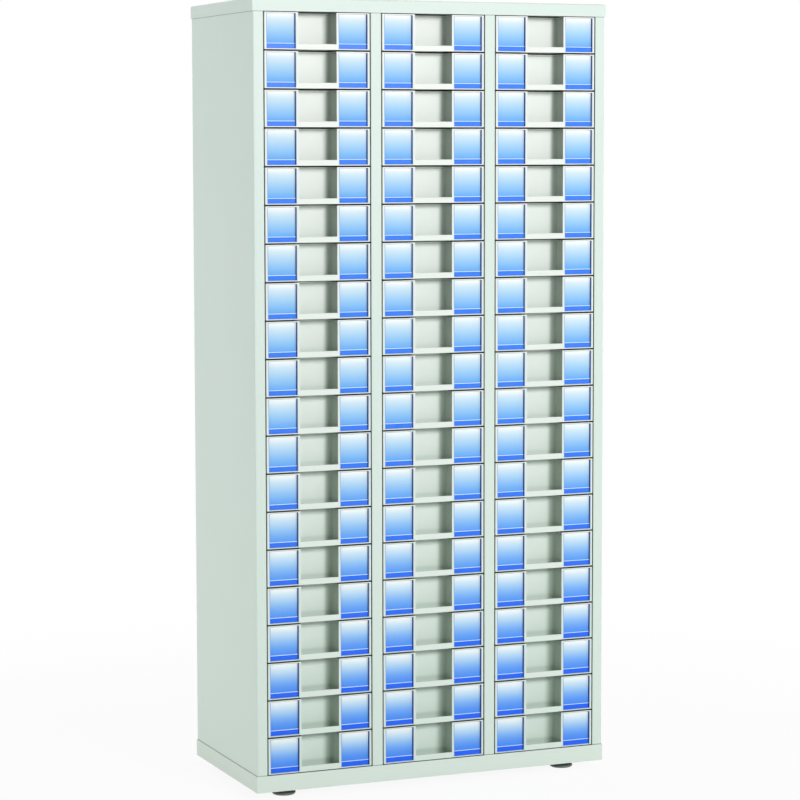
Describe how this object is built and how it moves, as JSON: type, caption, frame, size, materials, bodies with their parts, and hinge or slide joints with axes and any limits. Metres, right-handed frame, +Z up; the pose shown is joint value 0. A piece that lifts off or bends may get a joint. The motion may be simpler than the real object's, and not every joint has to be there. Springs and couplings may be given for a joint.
{
  "type": "multi-drawer cabinet",
  "caption": "Tall sheet-steel cabinet on levelling feet, with columns of moulded drawers that have label pockets and a finger recess, for sorting papers and small parts.",
  "frame": {"origin": "centre of the footprint, on the floor under the feet", "axes": "+Z up along the height, +Y from the drawer fronts to the back panel, +X to the right as seen from the front"},
  "size_m": [0.87, 0.43, 1.8],
  "materials": {
    "painted_steel": "fine satin powder coat, pale grey-green",
    "runner_steel": "galvanised",
    "drawer_plastic": "smooth off-white moulding",
    "foot_plastic": "dark grey moulding on a zinc-plated stud"
  },
  "bodies": {
    "cabinet": {"base_plinth": "painted_steel", "side_panel_left": "painted_steel", "side_panel_right": "painted_steel", "divider_left": "painted_steel", "divider_right": "painted_steel", "back_panel": "painted_steel", "top_cap": "painted_steel", "drawer_runners": "runner_steel"},
    "foot_front_left": {"foot_front_left": "foot_plastic"},
    "foot_front_right": {"foot_front_right": "foot_plastic"},
    "foot_rear_left": {"foot_rear_left": "foot_plastic"},
    "foot_rear_right": {"foot_rear_right": "foot_plastic"},
    "drawer_a01": {"drawer_a01": "drawer_plastic"},
    "drawer_a02": {"drawer_a02": "drawer_plastic"},
    "drawer_a03": {"drawer_a03": "drawer_plastic"},
    "drawer_a04": {"drawer_a04": "drawer_plastic"},
    "drawer_a05": {"drawer_a05": "drawer_plastic"},
    "drawer_a06": {"drawer_a06": "drawer_plastic"},
    "drawer_a07": {"drawer_a07": "drawer_plastic"},
    "drawer_a08": {"drawer_a08": "drawer_plastic"},
    "drawer_a09": {"drawer_a09": "drawer_plastic"},
    "drawer_a10": {"drawer_a10": "drawer_plastic"},
    "drawer_a11": {"drawer_a11": "drawer_plastic"},
    "drawer_a12": {"drawer_a12": "drawer_plastic"},
    "drawers_a13_a14": {"drawers_a13_a14": "drawer_plastic"},
    "drawers_a15_a16": {"drawers_a15_a16": "drawer_plastic"},
    "drawers_a17_a18": {"drawers_a17_a18": "drawer_plastic"},
    "drawers_a19_a20": {"drawers_a19_a20": "drawer_plastic"},
    "drawer_b01": {"drawer_b01": "drawer_plastic"},
    "drawer_b02": {"drawer_b02": "drawer_plastic"},
    "drawer_b03": {"drawer_b03": "drawer_plastic"},
    "drawer_b04": {"drawer_b04": "drawer_plastic"},
    "drawer_b05": {"drawer_b05": "drawer_plastic"},
    "drawer_b06": {"drawer_b06": "drawer_plastic"},
    "drawer_b07": {"drawer_b07": "drawer_plastic"},
    "drawer_b08": {"drawer_b08": "drawer_plastic"},
    "drawer_b09": {"drawer_b09": "drawer_plastic"},
    "drawer_b10": {"drawer_b10": "drawer_plastic"},
    "drawer_b11": {"drawer_b11": "drawer_plastic"},
    "drawer_b12": {"drawer_b12": "drawer_plastic"},
    "drawers_b13_b14": {"drawers_b13_b14": "drawer_plastic"},
    "drawers_b15_b16": {"drawers_b15_b16": "drawer_plastic"},
    "drawers_b17_b18": {"drawers_b17_b18": "drawer_plastic"},
    "drawers_b19_b20": {"drawers_b19_b20": "drawer_plastic"},
    "drawer_c01": {"drawer_c01": "drawer_plastic"},
    "drawer_c02": {"drawer_c02": "drawer_plastic"},
    "drawer_c03": {"drawer_c03": "drawer_plastic"},
    "drawer_c04": {"drawer_c04": "drawer_plastic"},
    "drawer_c05": {"drawer_c05": "drawer_plastic"},
    "drawer_c06": {"drawer_c06": "drawer_plastic"},
    "drawer_c07": {"drawer_c07": "drawer_plastic"},
    "drawer_c08": {"drawer_c08": "drawer_plastic"},
    "drawer_c09": {"drawer_c09": "drawer_plastic"},
    "drawer_c10": {"drawer_c10": "drawer_plastic"},
    "drawer_c11": {"drawer_c11": "drawer_plastic"},
    "drawer_c12": {"drawer_c12": "drawer_plastic"},
    "drawers_c13_c14": {"drawers_c13_c14": "drawer_plastic"},
    "drawers_c15_c16": {"drawers_c15_c16": "drawer_plastic"},
    "drawers_c17_c18": {"drawers_c17_c18": "drawer_plastic"},
    "drawers_c19_c20": {"drawers_c19_c20": "drawer_plastic"}
  },
  "joints": [
    {"name": "drawer_a01_slide", "type": "slide", "parent": "cabinet", "child": "drawer_a01", "axis": [0, -1, 0], "range_m": [0, 0.3]},
    {"name": "drawer_a02_slide", "type": "slide", "parent": "cabinet", "child": "drawer_a02", "axis": [0, -1, 0], "range_m": [0, 0.3]},
    {"name": "drawer_a03_slide", "type": "slide", "parent": "cabinet", "child": "drawer_a03", "axis": [0, -1, 0], "range_m": [0, 0.3]},
    {"name": "drawer_a04_slide", "type": "slide", "parent": "cabinet", "child": "drawer_a04", "axis": [0, -1, 0], "range_m": [0, 0.3]},
    {"name": "drawer_a05_slide", "type": "slide", "parent": "cabinet", "child": "drawer_a05", "axis": [0, -1, 0], "range_m": [0, 0.3]},
    {"name": "drawer_a06_slide", "type": "slide", "parent": "cabinet", "child": "drawer_a06", "axis": [0, -1, 0], "range_m": [0, 0.3]},
    {"name": "drawer_a07_slide", "type": "slide", "parent": "cabinet", "child": "drawer_a07", "axis": [0, -1, 0], "range_m": [0, 0.3]},
    {"name": "drawer_a08_slide", "type": "slide", "parent": "cabinet", "child": "drawer_a08", "axis": [0, -1, 0], "range_m": [0, 0.3]},
    {"name": "drawer_a09_slide", "type": "slide", "parent": "cabinet", "child": "drawer_a09", "axis": [0, -1, 0], "range_m": [0, 0.3]},
    {"name": "drawer_a10_slide", "type": "slide", "parent": "cabinet", "child": "drawer_a10", "axis": [0, -1, 0], "range_m": [0, 0.3]},
    {"name": "drawer_a11_slide", "type": "slide", "parent": "cabinet", "child": "drawer_a11", "axis": [0, -1, 0], "range_m": [0, 0.3]},
    {"name": "drawer_a12_slide", "type": "slide", "parent": "cabinet", "child": "drawer_a12", "axis": [0, -1, 0], "range_m": [0, 0.3]},
    {"name": "drawers_a13_a14_slide", "type": "slide", "parent": "cabinet", "child": "drawers_a13_a14", "axis": [0, -1, 0], "range_m": [0, 0.3]},
    {"name": "drawers_a15_a16_slide", "type": "slide", "parent": "cabinet", "child": "drawers_a15_a16", "axis": [0, -1, 0], "range_m": [0, 0.3]},
    {"name": "drawers_a17_a18_slide", "type": "slide", "parent": "cabinet", "child": "drawers_a17_a18", "axis": [0, -1, 0], "range_m": [0, 0.3]},
    {"name": "drawers_a19_a20_slide", "type": "slide", "parent": "cabinet", "child": "drawers_a19_a20", "axis": [0, -1, 0], "range_m": [0, 0.3]},
    {"name": "drawer_b01_slide", "type": "slide", "parent": "cabinet", "child": "drawer_b01", "axis": [0, -1, 0], "range_m": [0, 0.3]},
    {"name": "drawer_b02_slide", "type": "slide", "parent": "cabinet", "child": "drawer_b02", "axis": [0, -1, 0], "range_m": [0, 0.3]},
    {"name": "drawer_b03_slide", "type": "slide", "parent": "cabinet", "child": "drawer_b03", "axis": [0, -1, 0], "range_m": [0, 0.3]},
    {"name": "drawer_b04_slide", "type": "slide", "parent": "cabinet", "child": "drawer_b04", "axis": [0, -1, 0], "range_m": [0, 0.3]},
    {"name": "drawer_b05_slide", "type": "slide", "parent": "cabinet", "child": "drawer_b05", "axis": [0, -1, 0], "range_m": [0, 0.3]},
    {"name": "drawer_b06_slide", "type": "slide", "parent": "cabinet", "child": "drawer_b06", "axis": [0, -1, 0], "range_m": [0, 0.3]},
    {"name": "drawer_b07_slide", "type": "slide", "parent": "cabinet", "child": "drawer_b07", "axis": [0, -1, 0], "range_m": [0, 0.3]},
    {"name": "drawer_b08_slide", "type": "slide", "parent": "cabinet", "child": "drawer_b08", "axis": [0, -1, 0], "range_m": [0, 0.3]},
    {"name": "drawer_b09_slide", "type": "slide", "parent": "cabinet", "child": "drawer_b09", "axis": [0, -1, 0], "range_m": [0, 0.3]},
    {"name": "drawer_b10_slide", "type": "slide", "parent": "cabinet", "child": "drawer_b10", "axis": [0, -1, 0], "range_m": [0, 0.3]},
    {"name": "drawer_b11_slide", "type": "slide", "parent": "cabinet", "child": "drawer_b11", "axis": [0, -1, 0], "range_m": [0, 0.3]},
    {"name": "drawer_b12_slide", "type": "slide", "parent": "cabinet", "child": "drawer_b12", "axis": [0, -1, 0], "range_m": [0, 0.3]},
    {"name": "drawers_b13_b14_slide", "type": "slide", "parent": "cabinet", "child": "drawers_b13_b14", "axis": [0, -1, 0], "range_m": [0, 0.3]},
    {"name": "drawers_b15_b16_slide", "type": "slide", "parent": "cabinet", "child": "drawers_b15_b16", "axis": [0, -1, 0], "range_m": [0, 0.3]},
    {"name": "drawers_b17_b18_slide", "type": "slide", "parent": "cabinet", "child": "drawers_b17_b18", "axis": [0, -1, 0], "range_m": [0, 0.3]},
    {"name": "drawers_b19_b20_slide", "type": "slide", "parent": "cabinet", "child": "drawers_b19_b20", "axis": [0, -1, 0], "range_m": [0, 0.3]},
    {"name": "drawer_c01_slide", "type": "slide", "parent": "cabinet", "child": "drawer_c01", "axis": [0, -1, 0], "range_m": [0, 0.3]},
    {"name": "drawer_c02_slide", "type": "slide", "parent": "cabinet", "child": "drawer_c02", "axis": [0, -1, 0], "range_m": [0, 0.3]},
    {"name": "drawer_c03_slide", "type": "slide", "parent": "cabinet", "child": "drawer_c03", "axis": [0, -1, 0], "range_m": [0, 0.3]},
    {"name": "drawer_c04_slide", "type": "slide", "parent": "cabinet", "child": "drawer_c04", "axis": [0, -1, 0], "range_m": [0, 0.3]},
    {"name": "drawer_c05_slide", "type": "slide", "parent": "cabinet", "child": "drawer_c05", "axis": [0, -1, 0], "range_m": [0, 0.3]},
    {"name": "drawer_c06_slide", "type": "slide", "parent": "cabinet", "child": "drawer_c06", "axis": [0, -1, 0], "range_m": [0, 0.3]},
    {"name": "drawer_c07_slide", "type": "slide", "parent": "cabinet", "child": "drawer_c07", "axis": [0, -1, 0], "range_m": [0, 0.3]},
    {"name": "drawer_c08_slide", "type": "slide", "parent": "cabinet", "child": "drawer_c08", "axis": [0, -1, 0], "range_m": [0, 0.3]},
    {"name": "drawer_c09_slide", "type": "slide", "parent": "cabinet", "child": "drawer_c09", "axis": [0, -1, 0], "range_m": [0, 0.3]},
    {"name": "drawer_c10_slide", "type": "slide", "parent": "cabinet", "child": "drawer_c10", "axis": [0, -1, 0], "range_m": [0, 0.3]},
    {"name": "drawer_c11_slide", "type": "slide", "parent": "cabinet", "child": "drawer_c11", "axis": [0, -1, 0], "range_m": [0, 0.3]},
    {"name": "drawer_c12_slide", "type": "slide", "parent": "cabinet", "child": "drawer_c12", "axis": [0, -1, 0], "range_m": [0, 0.3]},
    {"name": "drawers_c13_c14_slide", "type": "slide", "parent": "cabinet", "child": "drawers_c13_c14", "axis": [0, -1, 0], "range_m": [0, 0.3]},
    {"name": "drawers_c15_c16_slide", "type": "slide", "parent": "cabinet", "child": "drawers_c15_c16", "axis": [0, -1, 0], "range_m": [0, 0.3]},
    {"name": "drawers_c17_c18_slide", "type": "slide", "parent": "cabinet", "child": "drawers_c17_c18", "axis": [0, -1, 0], "range_m": [0, 0.3]},
    {"name": "drawers_c19_c20_slide", "type": "slide", "parent": "cabinet", "child": "drawers_c19_c20", "axis": [0, -1, 0], "range_m": [0, 0.3]},
    {"name": "foot_front_left_screw", "type": "slide", "parent": "cabinet", "child": "foot_front_left", "axis": [0, 0, -1], "range_m": [0, 0.015]},
    {"name": "foot_front_right_screw", "type": "slide", "parent": "cabinet", "child": "foot_front_right", "axis": [0, 0, -1], "range_m": [0, 0.015]},
    {"name": "foot_rear_left_screw", "type": "slide", "parent": "cabinet", "child": "foot_rear_left", "axis": [0, 0, -1], "range_m": [0, 0.015]},
    {"name": "foot_rear_right_screw", "type": "slide", "parent": "cabinet", "child": "foot_rear_right", "axis": [0, 0, -1], "range_m": [0, 0.015]}
  ]
}
